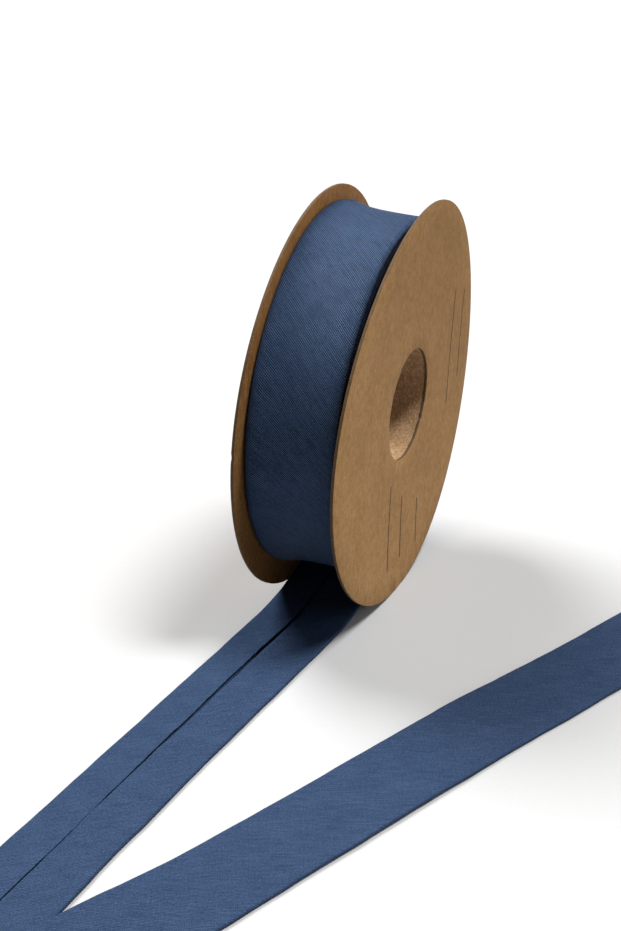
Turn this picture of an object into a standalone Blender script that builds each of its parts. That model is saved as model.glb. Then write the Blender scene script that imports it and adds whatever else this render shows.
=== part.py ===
"""A small card reel of folded cotton binding, standing on its rims with its loose end paid out.

The reel's axis lies along X. The binding leaves the roll at the bottom, runs forward on the
surface with its slit upwards, turns over in a soft fold and comes back beside itself, slit down.
Lengths below are millimetres and are turned into metres by MM where a mesh is made.
"""

import math

import bmesh
import bpy
from mathutils import Vector

MM = 0.001
TOUCH_GAP = 0.3

# Reel: two thin card discs on a card tube
FLANGE_RADIUS = 47.6
FLANGE_THICKNESS = 0.7
FLANGE_SPACING = 22.6
FLANGE_STEPS = 80
RIM_FLAT_DEPTH = 0.15
BORE_RADIUS = 13.2
CORE_WALL = 1.6
CORE_STEPS = 64
HUB_FLAT_RADIUS = 17.0
FLANGE_RINGS = (22.0, 29.0, 38.0)
WARP_POWER = 1.4
REEL_AXIS_Z = FLANGE_RADIUS - RIM_FLAT_DEPTH
REEL_CENTRE = (0.0, REEL_AXIS_Z)

# How far each thin disc has bent at its rim, towards +X:
#   name, all round, at the back, at the top, back and front together, across the diagonals
FLANGE_WARPS = (
    ("flange_near", 0.62, -0.05, 0.23, -0.73, -0.39),
    ("flange_far", 0.0, -0.45, 0.10, -0.27, -0.21),
)

# Binding: a strip with both edges folded in to meet at a slit
TAPE_WIDTH = 20.0
CLOTH_THICKNESS = 0.55
FOLD_GAP = 0.3
TAPE_THICKNESS = 2 * CLOTH_THICKNESS + FOLD_GAP
EDGE_ROUND = 0.7

# Roll: wound on the tube, a little high and forward, with its outer turn ending where the loose end leaves
ROLL_CENTRE_X = -0.28
ROLL_LIFT = 1.2
ROLL_FORWARD = 0.35
ROLL_OUTER_RADIUS = 43.9
ROLL_STEPS = 96
ROLL_CENTRE = (-ROLL_FORWARD, REEL_AXIS_Z + ROLL_LIFT)
LEAVE_DEGREES = 12.0
STEP_DEGREES = 0.5

# Height lost below the roll's outer radius, across its width: across, drop
ROLL_PROFILE = (
    (-10.0, 0.6),
    (-9.7, 0.15),
    (-8.8, 0.0),
    (-7.5, 0.35),
    (-5.0, 1.0),
    (-2.0, 1.3),
    (2.0, 1.45),
    (6.0, 1.5),
    (8.8, 1.45),
    (9.7, 1.7),
    (10.0, 2.3),
)
ROLL_NEAR_DROP = 1.5

# First run: out of the roll, down to the surface and away from the reel
LANDING_Y = -28.0
STRAIGHT_Y = -40.0
STRAIGHT_X = -2.1
RUN_OUT_HEADING = 4.3
FOLD_Y = -204.8
RUN_OUT_STEPS = 14
STRAIGHT_STEPS = 12

# Second run: back from the fold. The heights are of the cloth's middle at its two edges.
RETURN_HEADING = 22.5
FOLD_BEND_RADIUS = 2.2
FOLD_STEPS = 10
SKEW_LENGTH = 16.0
TAPE_REST = TAPE_THICKNESS / 2

# distance from the fold, height of the inner edge, height of the outer edge, sideways wander
RETURN_ROWS = (
    (0.0, TAPE_REST + 2 * FOLD_BEND_RADIUS, TAPE_REST + 2 * FOLD_BEND_RADIUS, 0.0),
    (7.0, 4.75, 4.55, 0.1),
    (15.0, 3.9, 3.5, 0.3),
    (25.0, 3.3, 2.3, 0.6),
    (40.0, 3.05, 1.45, 0.9),
    (55.0, 2.8, 0.95, 1.1),
    (66.0, 2.5, 0.75, 1.2),
    (78.0, 1.6, TAPE_REST, 1.25),
    (92.0, 0.85, TAPE_REST, 0.9),
    (112.0, TAPE_REST, 0.85, 0.6),
    (132.0, 0.8, 0.9, 0.25),
    (150.0, 1.1, 0.8, 0.05),
    (168.0, 1.35, TAPE_REST, 0.0),
    (186.0, 1.1, TAPE_REST, 0.25),
    (204.0, TAPE_REST, 0.85, 0.3),
    (222.0, TAPE_REST, 0.9, 0.1),
    (240.0, TAPE_REST, TAPE_REST, 0.0),
)
RETURN_STEP = 6.0

# Width of the slit along the first run: y, width
SLIT_ROWS = (
    (12.0, 0.9),
    (-30.0, 1.0),
    (-70.0, 1.1),
    (-95.0, 0.7),
    (-112.0, 0.4),
    (-122.0, 0.36),
    (-135.0, 0.7),
    (-210.0, 0.7),
)


def clear_scene():
    """Empty the file of objects."""
    for obj in list(bpy.data.objects):
        bpy.data.objects.remove(obj, do_unlink=True)


def make_material(name, colour, roughness):
    """One plain surface, from its colour and roughness."""
    material = bpy.data.materials.new(name)
    material.use_nodes = True
    shader = material.node_tree.nodes["Principled BSDF"]
    shader.inputs["Base Color"].default_value = (*colour, 1.0)
    shader.inputs["Roughness"].default_value = roughness
    shader.inputs["Metallic"].default_value = 0.0
    return material


def add_object(name, mesh, material, collection, parent):
    """Link a mesh as a named object under the reel's standing point."""
    obj = bpy.data.objects.new(name, mesh)
    mesh.materials.clear()
    mesh.materials.append(material)
    mesh.shade_smooth()
    mesh.set_sharp_from_angle(angle=math.radians(40))
    collection.objects.link(obj)
    obj.parent = parent
    return obj


def turned_mesh(name, outline, steps):
    """Turn an outline of (radius, x) pairs about the reel's axis with a Screw modifier."""
    profile = bpy.data.meshes.new(name + "_profile")
    points = [(radius * MM, 0.0, x * MM) for radius, x in outline]
    count = len(points)
    profile.from_pydata(points, [(i, (i + 1) % count) for i in range(count)], [])
    maker = bpy.data.objects.new(name + "_maker", profile)
    bpy.context.scene.collection.objects.link(maker)
    screw = maker.modifiers.new("Screw", "SCREW")
    screw.axis = "Z"
    screw.steps = steps
    screw.render_steps = steps
    screw.use_merge_vertices = False
    bpy.context.view_layer.update()
    graph = bpy.context.evaluated_depsgraph_get()
    mesh = bpy.data.meshes.new_from_object(maker.evaluated_get(graph))
    bpy.data.objects.remove(maker, do_unlink=True)
    bpy.data.meshes.remove(profile)
    mesh.name = name
    for vertex in mesh.vertices:
        x, y, z = vertex.co
        vertex.co = (z, y, REEL_AXIS_Z * MM - x)
    return mesh


def loft_mesh(name, sections, ring):
    """Skin closed sections with quads, joined in a ring or capped at both ends."""
    bm = bmesh.new()
    rows = [[bm.verts.new(point * MM) for point in section] for section in sections]
    pairs = list(zip(rows, rows[1:]))
    if ring:
        pairs.append((rows[-1], rows[0]))
    for first, second in pairs:
        for i in range(len(first)):
            j = (i + 1) % len(first)
            bm.faces.new((first[i], first[j], second[j], second[i]))
    if not ring:
        bm.faces.new(rows[0])
        bm.faces.new(rows[-1])
    bmesh.ops.recalc_face_normals(bm, faces=bm.faces)
    mesh = bpy.data.meshes.new(name)
    bm.to_mesh(mesh)
    bm.free()
    return mesh


def table_value(rows, at, column):
    """Read a table's column at a distance, smoothly between its rows."""
    places = [row[0] for row in rows]
    rising = places[-1] > places[0]
    at = min(max(at, min(places)), max(places))
    last = len(rows) - 2
    index = 0
    while index < last and (at > places[index + 1] if rising else at < places[index + 1]):
        index += 1

    def slope(k):
        low, high = max(k - 1, 0), min(k + 1, len(rows) - 1)
        return (rows[high][column] - rows[low][column]) / (places[high] - places[low])

    span = places[index + 1] - places[index]
    return hermite(
        (at - places[index]) / span,
        rows[index][column],
        rows[index + 1][column],
        slope(index) * span,
        slope(index + 1) * span,
    )


def hermite(t, start, end, start_slope, end_slope):
    """Cubic from start to end, with the slopes given for the whole step."""
    return (
        start * (2 * t**3 - 3 * t**2 + 1)
        + start_slope * (t**3 - 2 * t**2 + t)
        + end * (3 * t**2 - 2 * t**3)
        + end_slope * (t**3 - t**2)
    )


def flange_outline(inner_face, outer_face):
    """Section of a flat disc, with the rings that let it bend."""
    radii = (BORE_RADIUS, HUB_FLAT_RADIUS, *FLANGE_RINGS, FLANGE_RADIUS)
    low, high = sorted((inner_face, outer_face))
    up = [(radius, high) for radius in radii]
    down = [(radius, low) for radius in reversed(radii)]
    return up + down


def bend_flange(mesh, dish, back, top, cross, diagonal):
    """Bend a thin disc beyond its hub, and give its rim the small flat that it stands on."""
    for vertex in mesh.vertices:
        y = vertex.co.y / MM
        z = vertex.co.z / MM - REEL_AXIS_Z
        radius = math.hypot(y, z)
        reach = max(radius - HUB_FLAT_RADIUS, 0.0) / (FLANGE_RADIUS - HUB_FLAT_RADIUS)
        angle = math.atan2(z, y)
        bend = dish + back * math.cos(angle) + top * math.sin(angle)
        bend += cross * math.cos(2 * angle) + diagonal * math.sin(2 * angle)
        vertex.co.x += bend * reach**WARP_POWER * MM
        vertex.co.z = max(vertex.co.z, 0.0)


def make_flange(warp, material, collection, parent):
    """One card disc."""
    name = warp[0]
    side = 1 if name == "flange_near" else -1
    inner_face = side * FLANGE_SPACING / 2
    outline = flange_outline(inner_face, inner_face + side * FLANGE_THICKNESS)
    mesh = turned_mesh(name, outline, FLANGE_STEPS)
    bend_flange(mesh, *warp[1:])
    return add_object(name, mesh, material, collection, parent)


def make_core(material, collection, parent):
    """The card tube that the discs are glued to, open right through."""
    half = FLANGE_SPACING / 2 - TOUCH_GAP
    outer = BORE_RADIUS + CORE_WALL
    outline = ((BORE_RADIUS, half), (outer, half), (outer, -half), (BORE_RADIUS, -half))
    mesh = turned_mesh("core_tube", outline, CORE_STEPS)
    return add_object("core_tube", mesh, material, collection, parent)


def on_circle(x, radius, degrees, centre):
    """A point round a centre (y, z): 0 degrees is straight down and 90 is the back."""
    angle = math.radians(degrees)
    return Vector((x, centre[0] + radius * math.sin(angle), centre[1] - radius * math.cos(angle)))


def roll_section(degrees, turned):
    """The roll's cut face at one angle, after part of a turn from where the loose end leaves."""
    radius = ROLL_OUTER_RADIUS - TAPE_THICKNESS * (1 - turned)
    inner = BORE_RADIUS + CORE_WALL + TOUCH_GAP
    outside = [
        on_circle(ROLL_CENTRE_X + across, radius - drop, degrees, ROLL_CENTRE)
        for across, drop in ROLL_PROFILE
    ]
    half = TAPE_WIDTH / 2
    inside = [
        on_circle(ROLL_CENTRE_X + side * half, inner, degrees, REEL_CENTRE) for side in (1, -1)
    ]
    return outside + inside


def make_roll(material, collection, parent):
    """The wound binding, a ring whose radius grows by one thickness in its outer turn."""
    whole = 360.0 - STEP_DEGREES
    sections = []
    for step in range(ROLL_STEPS + 1):
        turned = step / ROLL_STEPS
        sections.append(roll_section(LEAVE_DEGREES - turned * whole, turned))
    mesh = loft_mesh("tape_roll", sections, ring=True)
    return add_object("tape_roll", mesh, material, collection, parent)


def tape_outline(slit):
    """The binding's section as (across, up) pairs: one cloth with both edges folded in."""
    half = TAPE_WIDTH / 2
    top = TAPE_THICKNESS / 2
    inner = FOLD_GAP / 2
    lip = slit / 2
    shoulder = half - EDGE_ROUND
    inner_end = half - CLOTH_THICKNESS
    right = [
        (shoulder, -top),
        (half - 0.25 * EDGE_ROUND, -0.65 * top),
        (half, 0.0),
        (half - 0.25 * EDGE_ROUND, 0.65 * top),
        (shoulder, top),
        (lip, top),
        (lip, inner),
        (inner_end - inner, inner),
        (inner_end, 0.0),
        (inner_end - inner, -inner),
    ]
    left = [(-across, up) for across, up in reversed(right)]
    return right + left


def place_section(centre, across, along, slit, skew):
    """Set the binding's section at a centre, square to its length or skewed across it."""
    normal = along.cross(across).normalized()
    stretch = 1 / math.cos(math.radians(skew))
    return [
        centre + across * (side * stretch) + normal * up for side, up in tape_outline(slit)
    ]


def heading(degrees):
    """Unit vector in plan, turned from +Y towards +X."""
    angle = math.radians(degrees)
    return Vector((math.sin(angle), math.cos(angle), 0.0))


def run_out_centre(y):
    """Middle of the first run, as a point and its left and right edge heights, at a given y."""
    start = roll_leaving_point(0.5)
    if y > STRAIGHT_Y:
        span = STRAIGHT_Y - start.y
        end_slope = math.tan(math.radians(RUN_OUT_HEADING)) * span
        x = hermite((y - start.y) / span, ROLL_CENTRE_X, STRAIGHT_X, 0.0, end_slope)
    else:
        x = STRAIGHT_X + math.tan(math.radians(RUN_OUT_HEADING)) * (y - STRAIGHT_Y)
    heights = []
    for side in (0.0, 1.0):
        height = TAPE_REST
        if y > LANDING_Y:
            span = LANDING_Y - start.y
            start_slope = math.tan(math.radians(LEAVE_DEGREES)) * span
            leaving = roll_leaving_point(side).z
            height = hermite((y - start.y) / span, leaving, TAPE_REST, start_slope, 0.0)
            height = max(height, TAPE_REST)
        heights.append(height)
    return Vector((x, y, sum(heights) / 2)), heights


def roll_leaving_point(side):
    """Where the loose end leaves the roll, at its far edge (0), its near edge (1) or between."""
    radius = ROLL_OUTER_RADIUS - ROLL_NEAR_DROP * side - TAPE_THICKNESS / 2 + TOUCH_GAP
    before_step = math.degrees(1.5 * TOUCH_GAP / radius)
    return on_circle(ROLL_CENTRE_X, radius, LEAVE_DEGREES - before_step, ROLL_CENTRE)


def run_out_sections():
    """Sections of the first run, from the roll to the fold."""
    start_y = roll_leaving_point(0.5).y
    landing = [
        start_y + (STRAIGHT_Y - start_y) * k / RUN_OUT_STEPS for k in range(RUN_OUT_STEPS + 1)
    ]
    straight = [
        STRAIGHT_Y + (FOLD_Y - STRAIGHT_Y) * k / STRAIGHT_STEPS
        for k in range(1, STRAIGHT_STEPS + 1)
    ]
    half_turn = (RETURN_HEADING - RUN_OUT_HEADING) / 2
    sections = []
    for y in landing + straight:
        centre, heights = run_out_centre(y)
        ahead = run_out_centre(y - 0.5)[0]
        behind = run_out_centre(y + 0.5)[0] if y < start_y else centre
        along = (ahead - behind).normalized()
        skew = half_turn * min(max((FOLD_Y + SKEW_LENGTH - y) / SKEW_LENGTH, 0.0), 1.0)
        turned = math.degrees(math.atan2(-along.x, -along.y)) + skew
        across = heading(turned + 90)
        across = Vector((across.x, across.y, (heights[1] - heights[0]) / TAPE_WIDTH)).normalized()
        sections.append(
            place_section(centre, across, along, table_value(SLIT_ROWS, y, 1), skew)
        )
    return sections


def fold_sections():
    """Sections round the soft fold, along a line that halves the angle between the two runs."""
    middle = (RETURN_HEADING + RUN_OUT_HEADING) / 2
    half_turn = (RETURN_HEADING - RUN_OUT_HEADING) / 2
    outward, across = -heading(middle), heading(middle + 90)
    start = run_out_centre(FOLD_Y)[0]
    drift = FOLD_BEND_RADIUS * math.tan(math.radians(half_turn))
    slit = table_value(SLIT_ROWS, FOLD_Y, 1)
    sections = []
    for k in range(1, FOLD_STEPS + 1):
        angle = math.pi * k / FOLD_STEPS
        centre = start + outward * (FOLD_BEND_RADIUS * math.sin(angle))
        centre += across * (drift * angle)
        centre.z += FOLD_BEND_RADIUS * (1 - math.cos(angle))
        along = outward * math.cos(angle) + Vector((0, 0, math.sin(angle)))
        sections.append(place_section(centre, across, along, slit, half_turn))
    return sections, start + across * (drift * math.pi)


def return_sections(fold_end):
    """Sections of the second run, from the fold to the cut end."""
    half_turn = (RETURN_HEADING - RUN_OUT_HEADING) / 2
    along_plan, across_plan = heading(RETURN_HEADING), heading(RETURN_HEADING + 90)
    length = RETURN_ROWS[-1][0]
    count = round(length / RETURN_STEP)
    slit = table_value(SLIT_ROWS, FOLD_Y, 1)

    def centre_at(distance):
        inner, outer = (max(table_value(RETURN_ROWS, distance, c), TAPE_REST) for c in (1, 2))
        wander = table_value(RETURN_ROWS, distance, 3)
        point = fold_end + along_plan * distance + across_plan * wander
        point.z = (inner + outer) / 2
        return point, outer - inner

    sections = []
    for k in range(1, count + 1):
        distance = length * k / count
        centre, tilt = centre_at(distance)
        ahead = centre_at(min(distance + 0.5, length))[0]
        along = (ahead - centre_at(distance - 0.5)[0]).normalized()
        skew = half_turn * min(max((SKEW_LENGTH - distance) / SKEW_LENGTH, 0.0), 1.0)
        across = heading(math.degrees(math.atan2(along.x, along.y)) + 90 - skew)
        across = Vector((across.x, across.y, tilt / TAPE_WIDTH)).normalized()
        sections.append(place_section(centre, across, along, slit, skew))
    return sections


def make_tail(material, collection, parent):
    """The loose end: one folded strip, from the roll's last turn to its cut end."""
    turn, fold_end = fold_sections()
    sections = run_out_sections() + turn + return_sections(fold_end)
    mesh = loft_mesh("tape_tail", sections, ring=False)
    return add_object("tape_tail", mesh, material, collection, parent)


def centre_on_floor(parent, objects):
    """Move the standing point so that the whole object is centred over the origin."""
    corners = [v.co for obj in objects for v in obj.data.vertices]
    for axis in (0, 1):
        values = [corner[axis] for corner in corners]
        parent.location[axis] = -(min(values) + max(values)) / 2
    parent.location[2] = -min(corner[2] for corner in corners)


def main():
    """Build the reel and its binding."""
    clear_scene()
    collection = bpy.data.collections.new("binding_reel")
    bpy.context.scene.collection.children.link(collection)
    stand = bpy.data.objects.new("standing_point", None)
    collection.objects.link(stand)
    card = make_material("kraft_card", (0.36, 0.23, 0.12), 0.8)
    cloth = make_material("cotton_binding", (0.05, 0.085, 0.17), 0.85)
    objects = [make_flange(warp, card, collection, stand) for warp in FLANGE_WARPS]
    objects.append(make_core(card, collection, stand))
    objects.append(make_roll(cloth, collection, stand))
    objects.append(make_tail(cloth, collection, stand))
    centre_on_floor(stand, objects)


main()
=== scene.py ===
"""A small card reel of folded cotton binding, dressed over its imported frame.

The reel's axis lies along X. Sizes are millimetres about the reel: the floor is z = 0 and the
reel's middle is x = y = 0. Place turns them into the frame's metres.
"""

import sys
import logging
import math
from dataclasses import dataclass, field
from enum import Enum
from typing import Mapping, NamedTuple, Sequence

import bmesh
import bpy
import numpy as np
from mathutils import Matrix, Vector


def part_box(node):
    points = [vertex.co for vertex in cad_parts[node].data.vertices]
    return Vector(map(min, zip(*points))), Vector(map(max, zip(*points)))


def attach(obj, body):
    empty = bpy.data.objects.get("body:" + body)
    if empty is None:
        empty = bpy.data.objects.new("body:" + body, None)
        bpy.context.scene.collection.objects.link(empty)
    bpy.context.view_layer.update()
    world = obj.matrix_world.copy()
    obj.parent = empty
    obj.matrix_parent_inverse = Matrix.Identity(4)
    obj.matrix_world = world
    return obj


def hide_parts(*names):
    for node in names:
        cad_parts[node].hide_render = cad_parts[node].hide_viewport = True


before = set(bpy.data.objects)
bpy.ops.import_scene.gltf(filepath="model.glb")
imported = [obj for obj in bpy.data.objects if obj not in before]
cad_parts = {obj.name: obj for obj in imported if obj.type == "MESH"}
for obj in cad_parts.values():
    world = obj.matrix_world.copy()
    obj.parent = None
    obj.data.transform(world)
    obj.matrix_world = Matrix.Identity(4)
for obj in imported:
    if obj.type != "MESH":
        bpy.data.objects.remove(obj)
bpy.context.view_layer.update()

MM = 0.001
CARD_CREASE = math.radians(50)
CLOTH_CREASE = math.radians(60)
log = logging.getLogger("binding_reel")

Rows = Sequence[Sequence[Vector]]
Point = tuple[float, float, float]
Colour = tuple[float, float, float]
Feed = "bpy.types.NodeSocket | float | tuple[float, ...]"
Feeds = Mapping["str | int", Feed]


class Side(Enum):
    """Which end of the reel a disc closes."""

    NEAR = 1
    FAR = -1


class CardFace(Enum):
    """The surfaces of a die-cut disc, by material slot."""

    PLAIN = 0
    OUTSIDE = 1
    CUT_EDGE = 2


@dataclass(frozen=True)
class Place:
    """Where the reel stands in the frame, in metres, and its axis over the floor."""

    shift: Vector
    axis_height: float

    @classmethod
    def from_frame(cls, axis_height: float) -> "Place":
        """Read the reel's place from its core tube.

        Args:
            axis_height: Height of the reel's axis over the floor, in millimetres.

        Returns:
            The place of the reel's own origin.
        """
        low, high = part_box("core_tube")
        middle = (Vector(low) + Vector(high)) / 2
        return cls(middle - Vector((0.0, 0.0, axis_height * MM)), axis_height)

    def metres(self, point: Sequence[float]) -> Vector:
        """Turn a point about the reel into the frame's metres."""
        return Vector(point) * MM + self.shift

    def round_axis(self, x: float, radius: float, angle: float) -> Vector:
        """Give a point round the axis, never below the floor, in millimetres."""
        height = self.axis_height + radius * math.sin(angle)
        return Vector((x, radius * math.cos(angle), max(height, 0.0)))


def clamp(value: float) -> float:
    """Keep a value between 0 and 1."""
    return min(max(value, 0.0), 1.0)


def ripple(at: float, seed: float) -> float:
    """Give a smooth uneven value between -1 and 1.

    Args:
        at: Distance in wavelengths.
        seed: Shifts the pattern, so that two edges differ.

    Returns:
        The sum of four waves that never quite repeat.
    """
    waves = ((1.0, 0.40), (1.73, 0.28), (2.89, 0.19), (4.61, 0.13))
    return sum(
        size * math.sin(2 * math.pi * (rate * at + seed * (k + 1) * 0.377))
        for k, (rate, size) in enumerate(waves)
    )


def hermite(t: float, start: float, end: float, leave: float, arrive: float) -> float:
    """Follow a cubic from start to end.

    Args:
        t: How far along, from 0 to 1.
        start: Value at 0.
        end: Value at 1.
        leave: Slope at 0, for the whole step.
        arrive: Slope at 1, for the whole step.

    Returns:
        The value at t.
    """
    return (
        start * (2 * t**3 - 3 * t**2 + 1)
        + leave * (t**3 - 2 * t**2 + t)
        + end * (3 * t**2 - 2 * t**3)
        + arrive * (t**3 - t**2)
    )


def read_table(rows: Sequence[tuple], at: float, column: int) -> float:
    """Read a table's column smoothly between its rows.

    Args:
        rows: Rows whose first column rises or falls all the way.
        at: Value of the first column.
        column: Column that is wanted.

    Returns:
        The column's value there.
    """
    sign = 1.0 if rows[-1][0] > rows[0][0] else -1.0
    places = [row[0] * sign for row in rows]
    at = min(max(at * sign, places[0]), places[-1])
    index = 0
    while index < len(rows) - 2 and at > places[index + 1]:
        index += 1

    def slope(k: int) -> float:
        """Give the column's slope at a row."""
        low, high = max(k - 1, 0), min(k + 1, len(rows) - 1)
        return (rows[high][column] - rows[low][column]) / (places[high] - places[low])

    span = places[index + 1] - places[index]
    return hermite(
        (at - places[index]) / span,
        rows[index][column],
        rows[index + 1][column],
        slope(index) * span,
        slope(index + 1) * span,
    )


def skin(name: str, rows: Rows, place: Place, ring: bool) -> bpy.types.Mesh:
    """Skin rows of points with quads into one closed mesh.

    Args:
        name: The mesh's name.
        rows: Closed sections, in millimetres about the reel.
        place: The reel's place.
        ring: True where the last row joins the first, False for capped ends.

    Returns:
        The mesh, its faces pointing out.
    """
    bm = bmesh.new()
    verts = [[bm.verts.new(place.metres(point)) for point in row] for row in rows]
    pairs = list(zip(verts, verts[1:])) + ([(verts[-1], verts[0])] if ring else [])
    for first, second in pairs:
        for i in range(len(first)):
            j = (i + 1) % len(first)
            bm.faces.new((first[i], first[j], second[j], second[i]))
    if not ring:
        bm.faces.new(verts[0])
        bm.faces.new(verts[-1])
    bmesh.ops.recalc_face_normals(bm, faces=bm.faces)
    mesh = bpy.data.meshes.new(name)
    bm.to_mesh(mesh)
    bm.free()
    mesh.shade_smooth()
    return mesh


def put_in_scene(name: str, data: bpy.types.ID) -> bpy.types.Object:
    """Make an object of some data and link it to the scene.

    Args:
        name: The object's name.
        data: Its mesh, curve, light or camera.

    Returns:
        The object.
    """
    thing = bpy.data.objects.new(name, data)
    bpy.context.scene.collection.objects.link(thing)
    return thing


def show(name: str, mesh: bpy.types.Mesh, slot: str, *nodes: str) -> bpy.types.Object:
    """Put a finished mesh in the scene as a piece of the reel.

    Args:
        name: The piece's name.
        mesh: Its mesh, in the frame's metres.
        slot: The record's material slot; not used.
        nodes: The CAD nodes that it stands for.

    Returns:
        The piece.
    """
    piece = put_in_scene(name, mesh)
    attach(piece, "root")
    if nodes:
        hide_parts(*nodes)
    log.info("%s: %d faces", name, len(mesh.polygons))
    return piece


def vertex_places(mesh: bpy.types.Mesh) -> np.ndarray:
    """List the places of a mesh's vertices, in metres.

    Args:
        mesh: The mesh.

    Returns:
        One row of three numbers for each vertex.
    """
    places = np.empty(len(mesh.vertices) * 3)
    mesh.vertices.foreach_get("co", places)
    return places.reshape(-1, 3)


def corner_vertices(mesh: bpy.types.Mesh) -> np.ndarray:
    """List the vertex of each face corner.

    Args:
        mesh: The mesh.

    Returns:
        The vertex's number for each corner.
    """
    corners = np.empty(len(mesh.loops), dtype=np.int32)
    mesh.loops.foreach_get("vertex_index", corners)
    return corners


def map_cloth(mesh: bpy.types.Mesh, flat: np.ndarray) -> None:
    """Write each face corner's place on the flat cloth, in millimetres, as a UV map."""
    layer = mesh.uv_layers.new(name="cloth")
    layer.data.foreach_set("uv", flat.ravel())


class Bench:
    """Places and joins the nodes of one tree."""

    def __init__(self, tree: bpy.types.NodeTree) -> None:
        """Take the tree that the nodes go into."""
        self.tree = tree

    def feed(self, socket: bpy.types.NodeSocket, value: Feed) -> None:
        """Link a socket to another, or set its value.

        Args:
            socket: The input that is fed.
            value: What goes in.
        """
        if isinstance(value, bpy.types.NodeSocket):
            self.tree.links.new(value, socket)
        else:
            socket.default_value = value

    def fill(self, node: bpy.types.Node, feeds: Feeds) -> None:
        """Feed a node's inputs, each by its name or its number."""
        for key, value in feeds.items():
            self.feed(node.inputs[key], value)

    def add(self, kind: str, feeds: Feeds | None = None, **settings: object) -> bpy.types.Node:
        """Add a node.

        Args:
            kind: Blender's name for the node type.
            feeds: Its inputs, each by its name or its number.
            settings: Its properties.

        Returns:
            The node.
        """
        node = self.tree.nodes.new(kind)
        for key, value in settings.items():
            setattr(node, key, value)
        self.fill(node, feeds or {})
        return node

    def math(self, operation: str, *values: Feed) -> bpy.types.NodeSocket:
        """Work something out from one, two or three values."""
        return self.add("ShaderNodeMath", dict(enumerate(values)), operation=operation).outputs[0]

    def total(self, start: Feed, *parts: tuple[Feed, float]) -> Feed:
        """Add values to a start, each times its share.

        Args:
            start: What they are added to.
            parts: Each value and its share.

        Returns:
            The sum.
        """
        for value, share in parts:
            start = self.math("MULTIPLY_ADD", value, share, start)
        return start

    def split(self, vector: Feed) -> list[bpy.types.NodeSocket]:
        """Split a vector into its three numbers."""
        return list(self.add("ShaderNodeSeparateXYZ", {0: vector}).outputs)

    def join(self, *values: Feed) -> bpy.types.NodeSocket:
        """Join two or three numbers into a vector."""
        return self.add("ShaderNodeCombineXYZ", dict(enumerate(values))).outputs[0]

    def noise(self, vector: Feed, stretch: Point, detail: float) -> bpy.types.NodeSocket:
        """Add an uneven value in space.

        Args:
            vector: Where it is read.
            stretch: Spots for each unit along each axis.
            detail: How much finer the pattern goes.

        Returns:
            A value from 0 to 1.
        """
        mapping = self.add("ShaderNodeMapping", {"Vector": vector, "Scale": stretch})
        feeds = {"Vector": mapping.outputs[0], "Scale": 1.0, "Detail": detail}
        return self.add("ShaderNodeTexNoise", feeds).outputs[0]

    def span(
        self, value: Feed, low: float, high: float, start: float = 0.0, end: float = 1.0
    ) -> bpy.types.NodeSocket:
        """Spread a value smoothly between two limits.

        Args:
            value: What is spread.
            low: Where it starts.
            high: Where it ends.
            start: Result at the low limit.
            end: Result at the high limit.

        Returns:
            The spread value.
        """
        feeds = {"Value": value, "From Min": low, "From Max": high, "To Min": start, "To Max": end}
        return self.add("ShaderNodeMapRange", feeds, interpolation_type="SMOOTHSTEP").outputs[0]

    def ramp(self, value: Feed, stops: Sequence[tuple[float, Colour]]) -> bpy.types.NodeSocket:
        """Turn a value into a colour.

        Args:
            value: From 0 to 1.
            stops: Places and their colours.

        Returns:
            The colour.
        """
        node = self.add("ShaderNodeValToRGB", {0: value})
        elements = node.color_ramp.elements
        while len(elements) < len(stops):
            elements.new(0.5)
        for element, (at, colour) in zip(elements, stops):
            element.position = at
            element.color = (*colour, 1.0)
        return node.outputs[0]

    def tint(self, factor: Feed, first: Feed, second: Feed) -> bpy.types.NodeSocket:
        """Mix two colours.

        Args:
            factor: Share of the second.
            first: Colour at 0.
            second: Colour at 1.

        Returns:
            The mixed colour.
        """
        node = self.add("ShaderNodeMix", {"Factor": factor}, data_type="RGBA")
        for name, value in (("A", first), ("B", second)):
            socket = next(s for s in node.inputs if s.name == name and s.type == "RGBA")
            self.feed(socket, (*value, 1.0) if isinstance(value, tuple) else value)
        return next(s for s in node.outputs if s.type == "RGBA")

    def relief(self, height: Feed, depth: float) -> bpy.types.NodeSocket:
        """Turn a height from 0 to 1 into fine relief, its depth in metres."""
        feeds = {"Strength": 1.0, "Distance": depth, "Height": height}
        return self.add("ShaderNodeBump", feeds).outputs[0]


def start_finish(name: str) -> tuple[bpy.types.Material, Bench, bpy.types.Node]:
    """Start a material.

    Args:
        name: The material's name.

    Returns:
        The material, a bench on its tree, and its shader node.
    """
    material = bpy.data.materials.new(name)
    material.use_nodes = True
    return material, Bench(material.node_tree), material.node_tree.nodes["Principled BSDF"]


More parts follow.
